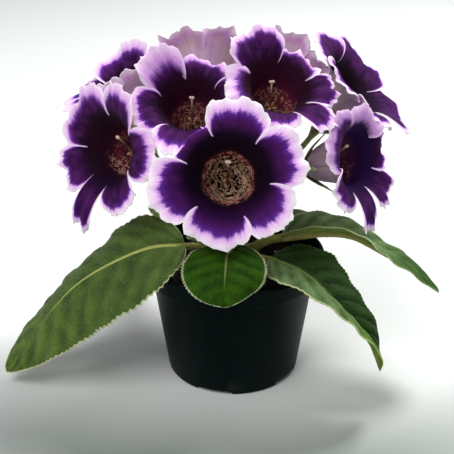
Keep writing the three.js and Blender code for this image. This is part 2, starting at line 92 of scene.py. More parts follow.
# seat is the stalk's place on the crown as (turn, reach), and facing is (turn, rise). A lobe is (angle,
# reach, curl, lift, width): its place round the mouth, its length, the tilt of its tip, its twist, and how
# wide it grows where that isn't 1. tone is (how far the lace goes round the throat, how red the bell is, how
# much painted shade turns the upper margins mauve). rim scales the pale margins, pale that of the lobe at an
# angle, and ruffle their folds
FLOWERS = {
    "front": dict(
        seat=(-90, 6.3), mouth=(-3.4, -42, 153), facing=(0, 20), ring=25, throat=15.5, depth=38,
        tone=(1, 0.1, 0),
        lobes=[(82, 22, -18, -3), (17, 23, -15, -3), (-36, 20, -12, -3), (-98, 18.5, -22, 0),
               (-174, 24, -14, 3), (139, 14, -150, 0)]),
    "upper_left": dict(
        seat=(180, 2.3), mouth=(-27.5, 8, 181), facing=(-8, 52), ring=19, throat=13.5, depth=36,
        tone=(0.25, 0.75, 0.8), rim=0.6, pale={132: 2.6, -36: 1.7, -87: 1.5},
        lobes=[(132, 26, 25, 3, 0.95), (74, 17, -45, -3, 1.2), (6, 18, -30, 0), (-36, 17, -25, 0),
               (-87, 26, -15, 0), (199, 19, -20, 3)]),
    "upper_right": dict(
        seat=(0, 2.3), mouth=(27.5, 10, 191), facing=(20, 52), ring=19.5, throat=13.5, depth=37,
        tone=(0.25, 1, 0.4), rim=0.62, pale={172: 1.7, -24: 0.7},
        lobes=[(106, 24, 0, 3, 1.1), (172, 17, -50, 0, 0.9), (-93, 16, -25, 0), (-67, 27, -14, 2),
               (-24, 20, -38, 2, 0.9), (40, 14, -50, 0)]),
    "left": dict(
        seat=(188, 6.3), mouth=(-78, 4, 152), facing=(-45, 14), ring=22, throat=14, depth=37,
        tone=(0.1, 0.5, 0.5), rim=0.6, pale={150: 1.7, 54: 1.5, 19: 1.3, -133: 1.4},
        lobes=[(150, 24, -30, 2), (54, 25, 0, 3, 0.9), (19, 25, -35, -3), (-56, 21, -20, -3),
               (-110, 37, -32, 3, 0.5), (-133, 25, -25, 3)]),
    "right": dict(
        seat=(-24, 6.3), mouth=(77, 2, 147), facing=(54, 12), ring=21, throat=14, depth=37,
        tone=(0.25, 0.2, 1), rim=0.55, pale={58: 2.1, 142: 1.3},
        lobes=[(142, 19, -40, 0), (58, 14, -22, 3, 1.1), (-8, 14, -40, 3), (-57, 24, -20, 3),
               (-91, 28, -25, 0, 0.65), (-142, 18, -25, 3)]),
    "right_back": dict(
        seat=(19, 6.3), mouth=(81, 61, 176), facing=(80, 44), ring=22, throat=14, depth=37,
        tone=(0.3, 0.3, 0.2), rim=0.6,
        lobes=[(150, 22, -12, 3, 1.1), (101, 24, -18, 9, 1.2), (10, 28, -8, 0), (-77, 29, -22, 3),
               (-142, 22, -14, 3)]),
    "left_back": dict(
        seat=(141, 6.3), mouth=(-78, 70, 176), facing=(-98, 60), ring=22, throat=14, depth=37, ruffle=0.35,
        tone=(0.3, 0.4, 0.2), rim=1.1,
        lobes=[(182, 25, 45, -4, 1.1), (100, 18, 0, 3), (54, 12, 30, 3), (0, 11, 60, 3), (-52, 20, -30, 3),
               (-103, 23, -20, 3)]),
    "back": dict(
        seat=(98, 6.3), mouth=(-22, 86, 184), facing=(-172, 42), ring=20, throat=13.5, depth=37,
        tone=(0.3, 0.6, 0.2),
        lobes=[(120, 21, -20, 3), (60, 21, -20, 3), (0, 15, -60, 0), (-60, 22, -20, 3), (-120, 22, -15, 3),
               (180, 14, -80, 0)]),
    "back_right": dict(
        seat=(58, 6.3), mouth=(35, 86, 179), facing=(158, 36), ring=20, throat=13.5, depth=37,
        tone=(0.3, 0.6, 0.2),
        lobes=[(105, 21, -15, 3), (45, 20, -20, 0), (-15, 14, -80, 0), (-75, 22, -20, 3), (-135, 22, -15, 3),
               (165, 17, -50, 0)]),
}

# seat is the stem's place on the crown as (turn, height). left and right are the blade's halves seen from the
# crown: the widest reach, then the slopes at base, middle and tip. base and taper shape the outline towards
# its two ends, teeth and veins are counted along it, and keel thickens the midrib and the stem
LEAVES = {
    "left": dict(
        seat=(192, 84), base=8, taper=2.8, stem=[(-19, -9, 91)], teeth=36, veins=9,
        rib=[(-31, -15, 95), (-51, -22, 97), (-72, -27, 91), (-98, -30, 76), (-118, -32, 55),
             (-150, -32, 10)],
        left=(36, -8, -48, -55), right=(37, 45, -42, 38)),
    "front": dict(
        seat=(-100, 85), base=5, taper=5, stem=[(0, -19, 99), (1, -34, 109), (-3, -47, 107)], teeth=26,
        veins=6,
        rib=[(-3, -37, 107), (-4, -47, 105), (-5, -57, 99.5), (-5.5, -65, 91), (-5, -70, 81)],
        left=(25, 0, 5, 0), right=(27, 0, 0, 0)),
    "right_front": dict(
        seat=(-68, 83), base=11, taper=1.9, stem=[(12, -18, 88)], teeth=40, veins=8,
        rib=[(24, -26, 92), (40, -36, 89), (49, -44, 86), (59, -50, 78), (76, -57, 61), (85, -60, 50),
             (92, -60, 30)],
        left=(27, 15, 20, 22), right=(25, -8, 44, 15)),
    "right": dict(
        seat=(-34, 87), base=4, taper=5, stem=[(13, -11, 91), (21, -12, 96.5)], teeth=44, veins=8, keel=1.8,
        rib=[(32, -10, 99), (60, -5, 99.5), (78, -4, 96.5), (98, -7, 86.5), (115, -12, 78.5),
             (134, -18, 62.5)],
        left=(29, 40, -16, -14), right=(22, 52, 24, 12)),
    "back_left": dict(
        seat=(118, 84), base=5, taper=2.2, stem=[(-12, 22, 90)], teeth=28, veins=7,
        rib=[(-20, 36, 95), (-32, 62, 93), (-44, 90, 78), (-52, 112, 52)],
        left=(28, 10, 0, -5), right=(28, 10, 0, -5)),
    "back_right": dict(
        seat=(62, 84), base=5, taper=2.2, stem=[(12, 22, 90)], teeth=28, veins=7,
        rib=[(22, 34, 92), (38, 60, 86), (54, 86, 68), (64, 106, 42)],
        left=(27, 10, 0, -5), right=(27, 10, 0, -5)),
    "young": dict(
        seat=(228, 88), base=4, taper=2, stem=[(-11, -13, 94)], teeth=12, veins=4,
        rib=[(-17, -20, 98), (-23, -27, 105), (-28, -33, 109)],
        left=(8, 30, 40, 40), right=(8, 30, 40, 40)),
}


def smoothstep(low, high, value):
    share = np.clip((value - low) / (high - low), 0, 1)
    return share * share * (3 - 2 * share)


# Curves, shells, tubes and hairs

class Line:
    """A line through dense points, read by its share of length."""

    def __init__(self, points):
        steps = np.linalg.norm(np.diff(points, axis=0), axis=1)
        self.points = points
        self.share = np.concatenate([[0], np.cumsum(steps)]) / steps.sum()

    def at(self, share):
        return np.stack([np.interp(share, self.share, self.points[:, k]) for k in range(3)], -1)

    def ahead(self, share, near=0.004):
        share = np.asarray(share)
        step = self.at(np.clip(share + near, 0, 1)) - self.at(np.clip(share - near, 0, 1))
        return step / np.linalg.norm(step, axis=-1, keepdims=True)


def smooth_line(knots):
    """A centripetal Catmull-Rom spline through knots."""
    knots = np.array(knots, float)
    knots = np.vstack([2 * knots[0] - knots[1], knots, 2 * knots[-1] - knots[-2]])
    spans = []
    for before, start, end, after in zip(knots, knots[1:], knots[2:], knots[3:]):
        d0, d1, d2 = (np.linalg.norm(b - a) ** 0.5 for a, b in ((before, start), (start, end), (end, after)))
        leave = ((start - before) / d0 - (end - before) / (d0 + d1) + (end - start) / d1) * d1
        arrive = ((end - start) / d1 - (after - start) / (d1 + d2) + (after - end) / d2) * d1
        t = np.linspace(0, 1, 60, endpoint=len(spans) == len(knots) - 4)[:, None]
        square = -3 * start + 3 * end - 2 * leave - arrive
        cube = 2 * start - 2 * end + leave + arrive
        spans.append(start + leave * t + square * t ** 2 + cube * t ** 3)
    return Line(np.vstack(spans))


def unit(vectors):
    return vectors / np.maximum(np.linalg.norm(vectors, axis=-1, keepdims=True), 1e-9)


def polar(reach, turn, height):
    """Points at a reach, a turn in radians and a height about the third axis."""
    return np.stack(np.broadcast_arrays(reach * np.cos(turn), reach * np.sin(turn), height), -1)


def without_repeats(faces):
    """Faces without repeated corners, and without those that shrink to an edge."""
    faces = [list(dict.fromkeys(face)) for face in faces]
    return [face for face in faces if len(face) > 2]


def strip(lower, upper):
    """Quads between two rows of indices."""
    return [list(face) for face in zip(lower, lower[1:], upper[1:], upper)]


def ring_rows(first, rows, sides):
    """The indices round each of some rings, back to where it starts."""
    return [[first + i * sides + k % sides for k in range(sides + 1)] for i in range(rows)]


def fan(middle, ring):
    """Triangles from a point to the steps of a ring, which runs clockwise seen from outside."""
    return [[middle, after, index] for index, after in zip(ring, ring[1:])]


def ring_faces(rings, first, last):
    """Faces of a closed body of rings, with a point in the middle of the first and of the last."""
    faces = fan(first, rings[0]) + fan(last, rings[-1][::-1])
    for lower, upper in zip(rings, rings[1:]):
        faces += strip(lower, upper)
    return faces


def vertex_normals(points, faces):
    quads = np.array([list(face) + [face[-1]] * (4 - len(face)) for face in faces])
    across = np.cross(points[quads[:, 2]] - points[quads[:, 0]], points[quads[:, 3]] - points[quads[:, 1]])
    normals = np.zeros_like(points)
    for k in range(4):
        np.add.at(normals, quads[:, k], across)
    return unit(normals)


class Body:
    """Points, faces and marks of one mesh, joined from closed pieces.

    A mark is one number, or one for each point."""

    def __init__(self):
        self.points, self.faces, self.marks, self.count = [], [], [], 0

    def add(self, points, faces, **marks):
        self.faces += [[i + self.count for i in face] for face in faces]
        self.points.append(points)
        self.marks.append(marks)
        self.count += len(points)
        return self

    def add_shell(self, points, faces, above, below, **marks):
        """A sheet closed into a shell. The mark back is 1 on the face that its normals point away from."""
        normals = vertex_normals(points, faces)
        count = len(points)
        both = np.vstack([points + normals * above[:, None], points - normals * below[:, None]])
        edges = {(a, b) for face in faces for a, b in zip(face, face[1:] + face[:1])}
        rim = [[b, a, count + a, count + b] for a, b in edges if (b, a) not in edges]
        under = [[count + i for i in reversed(face)] for face in faces]
        doubled = {key: np.concatenate([value, value]) for key, value in marks.items()}
        back = np.concatenate([np.zeros(count), np.ones(count)])
        return self.add(both, faces + under + rim, back=back, **doubled)

    def make(self, name, material, slot, *replaces):
        """Links the mesh as a piece of the object that rides on its one body."""
        mesh = bpy.data.meshes.new(name)
        mesh.from_pydata((np.vstack(self.points) * MM).tolist(), [], self.faces)
        for key in {key for marks in self.marks for key in marks}:
            values = []
            for points, marks in zip(self.points, self.marks):
                value = np.asarray(marks.get(key, 0), np.float32)
                values.append(np.broadcast_to(value, (len(points), *value.shape[1:])))
            values = np.concatenate(values)
            kind, field = ("FLOAT", "value") if values.ndim == 1 else ("FLOAT_VECTOR", "vector")
            mesh.attributes.new(key, kind, "POINT").data.foreach_set(field, values.ravel())
        mesh.polygons.foreach_set("use_smooth", [True] * len(mesh.polygons))
        mesh.update()
        piece = bpy.data.objects.new(name, mesh)
        scene.collection.objects.link(piece)
        mesh.materials.append(material)
        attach(piece, "root")
        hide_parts(*replaces)
        return piece


def tube(path, radii, sides, squash=1.0):
    """A closed tube along path, and each point's share of its length."""
    path = np.asarray(path, float)
    ahead = unit(np.gradient(path, axis=0))
    side = unit(np.cross(ahead[0], [0.3, 0.9, 0.1]))
    angle = np.linspace(0, 2 * pi, sides, endpoint=False)[:, None]
    rings = []
    for point, forward, radius in zip(path, ahead, radii):
        side = unit(side - forward * side.dot(forward))
        other = np.cross(forward, side)
        rings.append(point + radius * (np.cos(angle) * side + np.sin(angle) * other * squash))
    rows, count = len(path), len(path) * sides
    along = np.concatenate([np.repeat(np.linspace(0, 1, rows), sides), [0, 1]])
    faces = ring_faces(ring_rows(0, rows, sides), count, count + 1)
    return np.vstack([*rings, path[:1], path[-1:]]), faces, along


def ball(centre, radii, axis=(0, 0, 1), rows=10, sides=14):
    """A closed ellipsoid whose third radius lies along axis."""
    axis = unit(np.array(axis, float))
    side = unit(np.cross(axis, [0.31, 0.2, 0.93] if abs(axis[2]) < 0.9 else [1, 0, 0]))
    rings = []
    for fall in pi * np.arange(1, rows) / rows:
        rings.append(polar(sin(fall), 2 * pi * np.arange(sides) / sides, -cos(fall)))
    points = np.vstack([[[0, 0, -1]], *rings, [[0, 0, 1]]]) * radii
    faces = ring_faces(ring_rows(1, rows - 1, sides), 0, len(points) - 1)
    return np.array(centre) + points @ np.stack([side, np.cross(axis, side), axis]), faces


def add_hairs(body, roots, ahead, length, thickness=0.07):
    """Fine tapering hairs, three-sided and closed. ahead is each hair's direction."""
    ahead = unit(ahead)
    side = unit(np.cross(ahead, [0.21, 0.33, 0.92]))
    other = np.cross(ahead, side)
    reach = length * random.uniform(0.6, 1.25, len(roots))[:, None]
    points = []
    for k in range(3):
        turn = 2 * pi * k / 3
        points.append(roots - ahead * 0.1 + thickness * (side * cos(turn) + other * sin(turn)))
    points.append(roots + ahead * reach)
    points = np.stack(points, 1).reshape(-1, 3)
    faces = []
    for i in range(0, len(points), 4):
        faces += [[i, i + 1, i + 3], [i + 1, i + 2, i + 3], [i + 2, i, i + 3], [i, i + 2, i + 1]]
    body.add(points, faces, hair=1)


def add_fur(body, points, faces, roots, count, length=0.9):
    """Hairs that stand on a round skin, at count of its points picked from roots."""
    normals = vertex_normals(points, faces)
    pick = random.choice(roots, count)
    add_hairs(body, points[pick], normals[pick] + random.normal(0, 0.3, (count, 3)), length)


# Flowers

def flower_frame(flower):
    """Rotation whose columns are the flower's right, up and out, and the middle of its mouth."""
    turn, rise = (radians(angle) for angle in flower["facing"])
    out = np.array([sin(turn) * cos(rise), -cos(turn) * cos(rise), sin(rise)])
    up = unit(np.array([0, 0, 1.0]) - out * out[2])
    return np.stack([np.cross(up, out), up, out], 1), np.array(flower["mouth"], float)


def placed(flower, points):
    rotation, mouth = flower_frame(flower)
    return np.asarray(points) @ rotation.T + mouth


def bell_point(flower, share, angle, outset=0.0):
    share, angle, outset = np.broadcast_arrays(share, angle, outset)
    body = flower["throat"] * np.sqrt(1 - (1 - share) ** 3)
    reach = body + (flower["ring"] - flower["throat"]) * share ** FLARE_POWER + outset
    sag = TUBE_BEND * (1 - share) ** 2
    return np.stack([reach * np.cos(angle), reach * np.sin(angle) - sag, flower["depth"] * (share - 1)], -1)


def sectors(flower):
    """Lobes by falling angle, each with its notches halfway to its neighbours."""
    ordered = sorted(flower["lobes"], key=lambda lobe: -lobe[0])
    found = []
    for i, (angle, reach, curl, lift, *width) in enumerate(ordered):
        before = ordered[i - 1][0] + (360 if i == 0 else 0)
        after = ordered[(i + 1) % len(ordered)][0] - (360 if i == len(ordered) - 1 else 0)
        start, end = radians((angle + before) / 2), radians((angle + after) / 2)
        width = width[0] if width else 1
        found.append(dict(
            start=start, end=end, reach=reach, curl=radians(curl), lift=lift, width=width, phase=angle))
    return found


def lobe_point(flower, lobe, u, v):
    """A lobe's surface, u across it and v from the bell to its margin.

    With it come each point's distance to the margin, its share of the lobe's length and its angle."""
    start = atan(flower["depth"] / (FLARE_POWER * (flower["ring"] - flower["throat"])))
    bend = lobe["curl"] - start
    phase = lobe["phase"]
    around = np.clip(1 - np.abs(u) ** LOBE_FULLNESS, 0, 1) ** 0.5
    outline = around * (1 - 0.06 * u * u + 0.03 * np.sin(7 * u + phase))
    outline = outline * (1 + 0.03 * np.sin(19 * u + 3 * phase) + 0.022 * np.sin(41 * u + 5 * phase))
    share = v * outline
    tilt = start + bend * share
    reach = flower["ring"] + lobe["reach"] / bend * (np.sin(tilt) - sin(start))
    rise = -lobe["reach"] / bend * (np.cos(tilt) - cos(start))
    wave = 1.6 * outline * v ** 2 * np.sin(2.2 * pi * u + phase)
    ruffle = share ** 4 * (1.3 * np.sin(15 * u + 2 * phase) + 0.5 * np.sin(33 * u + phase))
    ruffle = ruffle * flower.get("ruffle", 1)
    off = share ** 0.7 * lobe["lift"] * u ** 3 + share * 1.5 * u * u + wave + ruffle
    away = reach - off * np.sin(tilt)
    middle = (lobe["start"] + lobe["end"]) / 2
    half = (lobe["start"] - lobe["end"]) / 2
    spread = 1 + (OVERLAP * lobe["width"] - 1) * (1 - np.clip(1 - share, 0, 1) ** 3)
    angle = middle - half * u * spread
    points = polar(away, angle, rise + off * np.cos(tilt))
    # The pale margin narrows down the lobe's sides to a line at the notch
    side = np.clip(1 - np.clip(share, 0, 1) ** 2, 0, 1) ** (1 / LOBE_FULLNESS)
    inner = np.clip(1 - share, 0, 1)
    lateral = (side - np.abs(u)) * half * flower["ring"] * 1.25 * (1.3 + 5 * inner + 22 * inner ** 3)
    lateral = lateral + 9 * smoothstep(0.1, 0.0, share)
    radial = (1 - v) * outline * lobe["reach"] * (1 + 0.8 * np.clip(-lobe["curl"] - 1, 0, 1))
    broad = flower.get("rim", 1) * flower.get("pale", {}).get(phase, 1)
    lateral, radial = lateral / broad, radial / broad
    edge = 1 / (1 / np.maximum(radial, 0.01) ** 3 + 1 / np.maximum(lateral, 0.01) ** 3) ** (1 / 3)
    return points, edge, share, angle


def cup(foot, rings, lobes):
    """Points and faces of a sheet: a point, rings round it, and lobes that climb from the last ring.

    A lobe is a grid of points. It has a column for each point of its part of the ring but the first, where it
    meets the lobe before it in a notch."""
    rounds = len(rings[0])
    circles = ring_rows(1, len(rings), rounds)
    faces = fan(0, circles[0])
    for inner, outer in zip(circles, circles[1:]):
        faces += strip(inner, outer)
    count = 1 + rounds * len(rings)
    climbs = []
    for lobe in lobes:
        columns, rows = lobe.shape[:2]
        climbs.append([circles[-1][len(climbs)]] * (rows + 1))
        for start in range(count, count + columns * rows, rows):
            climbs.append([circles[-1][len(climbs)], *range(start, start + rows)])
        count += columns * rows
    for left, right in zip(climbs, climbs[1:] + climbs[:1]):
        faces += without_repeats(zip(left, right, right[1:], left[1:]))
    return np.vstack([foot, *rings, *(lobe.reshape(-1, 3) for lobe in lobes)]), faces


def joined(values):
    """Numbers and grids of them in one row, in the order of a cup's points."""
    return np.concatenate([np.ravel(value) for value in values])


def corolla(name, flower, material):
    """The bell and its ruffled lobes as one thin shell."""
    lobes = sectors(flower)
    stations = np.sin((np.arange(LOBE_COLUMNS) / LOBE_COLUMNS * 2 - 1) * pi / 2)
    angles = joined([lobe["start"] + (lobe["end"] - lobe["start"]) * (stations + 1) / 2 for lobe in lobes])
    pleat = 0.9 * np.tile(1 - stations ** 2, len(lobes))
    rings = [bell_point(flower, share, angles, pleat * sin(pi * share) * share) for share in BELL_SHARES]
    heights = np.linspace(0, 1, LOBE_ROWS + 1)[1:] ** 0.9
    u, v = np.meshgrid(stations[1:], heights, indexing="ij")
    sheets, edges, shares, turns = zip(*(lobe_point(flower, lobe, u, v) for lobe in lobes))
    points, faces = cup(bell_point(flower, 0.0, 0.0)[None], rings, sheets)
    bell_edge = np.full(1 + len(angles) * len(rings), 40.0)
    along = joined([0, np.repeat(BELL_SHARES, len(angles)), 1 + joined(shares)])
    spin = joined([0, np.tile(angles, len(rings)), *turns])
    seed = 13.0 * (1 + list(FLOWERS).index(name))
    half = PETAL_HALF - 0.12 * np.clip(along - 1, 0, 1)
    body = Body().add_shell(
        placed(flower, points), faces, half, half, edge=joined([bell_edge, *edges]), along=along,
        floor=-np.sin(spin), streak=polar(24, spin, 6 * along + seed), spot=points,
        tone=np.tile(flower["tone"], (len(points), 1)))
    return body.make("bloom_" + name, material, "petal", "corolla_" + name)


def calyx(body, flower):
    """Five hairy sepals that hug the bell's foot and stand off at their tips."""
    count, length, outset, set_back, half = SEPALS.values()
    stations = np.linspace(-1, 1, SEPAL_COLUMNS + 1)[:-1]
    angles = joined([-(i + (stations + 1) / 2) * 2 * pi / count for i in range(count)])
    rings = [bell_point(flower, share, angles, outset) - [0, 0, set_back] for share in CALYX_SHARES]
    u, v = np.meshgrid(stations[1:], np.linspace(0, 1, SEPAL_ROWS + 1)[1:], indexing="ij")
    climb = v * (1 - np.abs(u) ** 1.4) * length / flower["depth"]
    reach = outset + 14 * climb ** 1.5 + 0.35 * np.exp(-(u * 4) ** 2) - 0.3 * v * np.abs(u)
    sheets = []
    for i in range(count):
        angle = -(i + 0.5 + 0.5 * u * (1 - 0.75 * v)) * 2 * pi / count
        sheets.append(bell_point(flower, CALYX_SHARES[-1] + climb, angle, reach) - [0, 0, set_back])
    points, faces = cup(bell_point(flower, 0.0, 0.0)[None] - [0, 0, outset + 0.3], rings, sheets)
    points = placed(flower, points)
    low = np.full(1 + len(angles) * len(rings), 3.0)
    edge = joined([low] + [(1 - np.abs(u)) * 6 * (1 - v * 0.5)] * count)
    rib = joined([low] + [np.abs(u) * 5 * (1 - v * 0.7)] * count)
    thick = np.full(len(points), half)
    body.add_shell(points, faces, thick, thick, edge=edge, rib=rib)
    normals = vertex_normals(points, faces)
    pick = random.choice(len(points), HAIRS["calyx"])
    ahead = random.normal(0, 0.35, (HAIRS["calyx"], 3)) - normals[pick]
    add_hairs(body, points[pick] - normals[pick] * half, ahead, 0.9)


def stalk_path(flower):
    """The stalk's middle line, from the crown's top into the calyx."""
    rotation, mouth = flower_frame(flower)
    foot = rotation @ np.array([0, -TUBE_BEND, -flower["depth"] - STALK_END]) + mouth
    away = unit(rotation @ np.array([0, -2 * TUBE_BEND, -flower["depth"]], float))
    turn, reach = flower["seat"]
    seat = polar(reach, radians(turn), CROWN["top"] + GAP)
    span = np.linalg.norm(seat - foot)
    above = seat + [0, 0, span * 0.35]
    before = foot + away * span * 0.32
    t = np.linspace(0, 1, 200)[:, None]
    path = (1 - t) ** 3 * seat + 3 * (1 - t) ** 2 * t * above + 3 * (1 - t) * t * t * before + t ** 3 * foot
    return Line(path).at(np.linspace(0, 1, STALK_STEPS))


def stalk(name, flower, material):
    """The hairy stalk, swollen where it meets its calyx."""
    body = Body()
    calyx(body, flower)
    share = np.linspace(0, 1, STALK_STEPS)
    radii = STALK_RADIUS * (1 + 0.05 * np.sin(17 * share)) + 2.2 * np.clip((share - 0.93) / 0.07, 0, 1)
    points, faces, along = tube(stalk_path(flower), radii, STEM_SIDES)
    body.add(points, faces, along=along, stem=1, edge=3)
    add_fur(body, points, faces, len(points) - 40, HAIRS["stalk"], 1.0)
    return body.make("flower_stalk_" + name, material, "stem", "stalk_" + name)


def pistil(name, flower, material):
    """The style with its two-lobed stigma, and the joined anthers on their arched filaments."""
    at = lambda share, lift: np.array([0, lift - TUBE_BEND * (1 - share) ** 2, flower["depth"] * (share - 1)])
    style = smooth_line([at(*knot) for knot in STYLE])
    share = np.linspace(0, 1, 28)
    body = Body()
    points, faces, along = tube(style.at(share), 1.4 - 0.75 * np.sqrt(share), 12)
    body.add(placed(flower, points), faces, along=along)
    tip, ahead = style.at(1.0), style.ahead(1.0)
    for side in (-1, 1):
        points, faces = ball(tip + [side * 0.75, 0.1, 0.3], (0.9, 1.3, 1.0), ahead)
        body.add(placed(flower, points), faces, along=1.3)
    heart = at(0.5, 0.4)
    for k in range(4):
        spoke = polar(1, pi / 4 + k * pi / 2, 0)
        points, faces = ball(heart + spoke * 2.3, (1.15, 0.9, 1.9), spoke * 0.8 + [0, 0, 0.6], 9, 12)
        body.add(placed(flower, points), faces, anther=1)
        root = at(0.1, 0) + spoke * 3.0
        arch = smooth_line([root, at(0.3, 0.2) + spoke * 5.0, heart + spoke * 3.0])
        points, faces, along = tube(arch.at(np.linspace(0, 1, 14)), np.full(14, 0.45), 8)
        body.add(placed(flower, points), faces, along=along)
    return body.make("style_and_anthers_" + name, material, "pistil", "pistil_" + name)


# Leaves, crown, pot and mix

def blade(leaf):
    """The blade's surface as a grid, with its marks. A row crosses the rib and a column runs along it."""
    rib = smooth_line(leaf["rib"])
    step = np.linspace(0, 1, BLADE_ROWS + 1)
    along = (0.65 * step + 0.35 * (0.5 - 0.5 * np.cos(pi * step)))[:, None]
    across = np.linspace(-1, 1, 2 * BLADE_HALF_COLUMNS + 1)
    across = (np.sign(across) * np.abs(across) ** 1.35)[None]
    ahead = rib.ahead(along[:, 0])
    right = unit(np.stack([ahead[:, 1], -ahead[:, 0], 0 * ahead[:, 0]], -1))
    up = np.cross(right, ahead)
    place = rib.at(along[:, 0])
    outline = (1 - (1 - along) ** leaf["base"]) ** 0.6 * (1 - along ** leaf["taper"]) ** 0.8
    # The width and the three slopes of the half that each point is on
    halves = zip(leaf["left"], leaf["right"])
    width, first, middle, last = (np.where(across < 0, *pair) for pair in halves)
    slope = np.radians((1 - along) ** 2 * first + 2 * along * (1 - along) * middle + along ** 2 * last)
    far = np.abs(across)
    tooth = np.abs(np.sin(pi * leaf["teeth"] * along + 0.8 * np.sin(9 * along)))
    reach = far * width * outline * (0.98 + 0.055 * far ** 6 * tooth ** 0.7)
    # Side veins leave the rib forwards, and the blade is quilted between them
    lead = along - 0.2 * far ** 1.25 + np.where(across < 0, 0.03, 0.0)
    phase = lead * leaf["veins"]
    valley = np.abs((phase % 1) - 0.5) * 2
    size = width / 30
    open_ends = np.sin(pi * along) ** 0.35
    quilt = 1.9 * size * (1 - valley ** 2.2) * smoothstep(0.02, 0.3, far) * (1 - far ** 5) * open_ends
    groove = -0.8 * np.exp(-(reach / 1.7) ** 2)
    ripple = 0.8 * size * far ** 3 * np.sin(2 * pi * leaf["veins"] * 0.8 * along + 2 * across) * open_ends
    lifted = reach * np.sin(slope) - DROOP * reach ** 2 / width
    side, right, up = np.sign(across), right[:, None], up[:, None]
    points = place[:, None] + right * (side * reach * np.cos(slope))[..., None]
    points = points + up * lifted[..., None]
    lean = (-side * np.sin(slope))[..., None] * right + np.cos(slope)[..., None] * up
    points = points + lean * (quilt + groove + ripple)[..., None]
    marks = dict(
        edge=(1 - far) * width * outline, rib=reach, valley=valley + 0 * reach, along=along + 0 * reach,
        side=across + 0 * along)
    return points, marks


def leaf_piece(name, leaf, material):
    """The toothed and quilted blade with its hairy stem."""
    grid, marks = blade(leaf)
    rows, columns = grid.shape[0] - 1, grid.shape[1]
    # The blade's first and last row shrink to one point each
    index = np.zeros((rows + 1, columns), int)
    index[1:rows] = 1 + np.arange((rows - 1) * columns).reshape(rows - 1, columns)
    index[rows] = (rows - 1) * columns + 1

    def listed(values):
        return np.concatenate([values[0, :1], *values[1:rows], values[rows, :1]])

    faces = []
    for lower, upper in zip(index.tolist(), index[1:].tolist()):
        faces += without_repeats(strip(lower, upper))
    points = listed(grid)
    marks = {key: listed(values) for key, values in marks.items()}
    thin = np.full(len(points), BLADE_HALF)
    girth = min(1, leaf["right"][0] / 20)
    stout = leaf.get("keel", 1)
    ridge = np.exp(-(marks["rib"] / (1.6 * stout ** 0.5)) ** 2) * smoothstep(1.0, 0.85, marks["along"])
    keel = BLADE_HALF + (1.7 - 1.1 * marks["along"]) * girth * stout * ridge
    keel += 0.25 * np.clip(marks["valley"] - 0.85, 0, 1) / 0.15 * (marks["edge"] > 1.5)
    body = Body().add_shell(points, faces, thin, keel, **marks)
    normals = vertex_normals(points, faces)
    margin = np.concatenate([index[2:rows - 1, 0], index[2:rows - 1, -1]])
    inward = np.concatenate([index[2:rows - 1, 3], index[2:rows - 1, -4]])
    count = HAIRS["margin"]
    which = random.integers(0, len(margin), count)
    outward = unit(points[margin[which]] - points[inward[which]])
    root = points[margin[which]] + random.normal(0, 0.25, (count, 3)) - outward * 0.25
    ahead = outward + normals[margin[which]] * random.uniform(-0.7, 0.9, (count, 1))
    add_hairs(body, root, ahead, 0.85, 0.06)
    turn, height = leaf["seat"]
    reaches = (CROWN["radius"] + GAP, CROWN["radius"] + 3)
    knots = [polar(reach, radians(turn), height + reach * 0.1) for reach in reaches]
    end = np.array(leaf["rib"][0]) * 0.75 + np.array(leaf["rib"][1]) * 0.25 - [0, 0, 0.9]
    share = np.linspace(0, 1, STEM_STEPS)
    path = smooth_line([*knots, *leaf["stem"], end]).at(share)
    radii = (2.8 - share) * girth * stout ** 0.3 * (1 - 0.5 * smoothstep(0.9, 1, share))
    points, faces, along = tube(path, radii, STEM_SIDES, 0.92)
    body.add(points, faces, stem=1, along=along, edge=9)
    add_fur(body, points, faces, len(points) - 2, HAIRS["stem"])
    return body.make("leaf_blade_" + name, material, "leaf", "leaf_" + name)


def crown_piece(material):
    """The knobbly crown with the scars and swollen bases of its leaves."""
    foot, top = CROWN["foot"], CROWN["top"]
    points = []
    for z in np.linspace(foot, top, CROWN_ROWS):
        ends = min(1, (z - foot) / 4) ** 0.5 * min(1, (top - z + 0.05) / 2.5) ** 0.5
        for turn in 2 * pi * np.arange(CROWN_SIDES) / CROWN_SIDES:
            rough = noise.noise(Vector((cos(turn) * 2.2, sin(turn) * 2.2, z * 0.22)))
            rings = 0.22 * sin(z * 2.1 + 0.8 * sin(2 * turn))
            reach = (CROWN["radius"] - 0.9 + 0.9 * rough + rings) * (0.72 + 0.28 * ends)
            points.append(polar(reach, turn, z))
    count = len(points)
    points = np.array(points + [[0, 0, foot], [0, 0, top]])
    faces = ring_faces(ring_rows(0, CROWN_ROWS, CROWN_SIDES), count, count + 1)
    body = Body().add(points, faces, stem=1, edge=9)
    above_mix = np.where(points[:, 2] > SOIL_TOP + 3)[0]
    add_fur(body, points, faces, above_mix, HAIRS["crown"])
    return body.make("crown_stem", material, "stem", "crown")


def rounded(points, radius, steps=4):
    """A profile with its inner corners rounded."""
    found = [np.array(points[0], float)]
    for before, corner, after in zip(points, points[1:], points[2:]):
        before, corner, after = (np.array(p, float) for p in (before, corner, after))
        cut = min(radius, np.linalg.norm(corner - before) * 0.45, np.linalg.norm(after - corner) * 0.45)
        start = corner + unit(before - corner) * cut
        end = corner + unit(after - corner) * cut
        for i in range(steps + 1):
            t = i / steps
            found.append((1 - t) ** 2 * start + 2 * t * (1 - t) * corner + t * t * end)
    found.append(np.array(points[-1], float))
    return np.array(found)


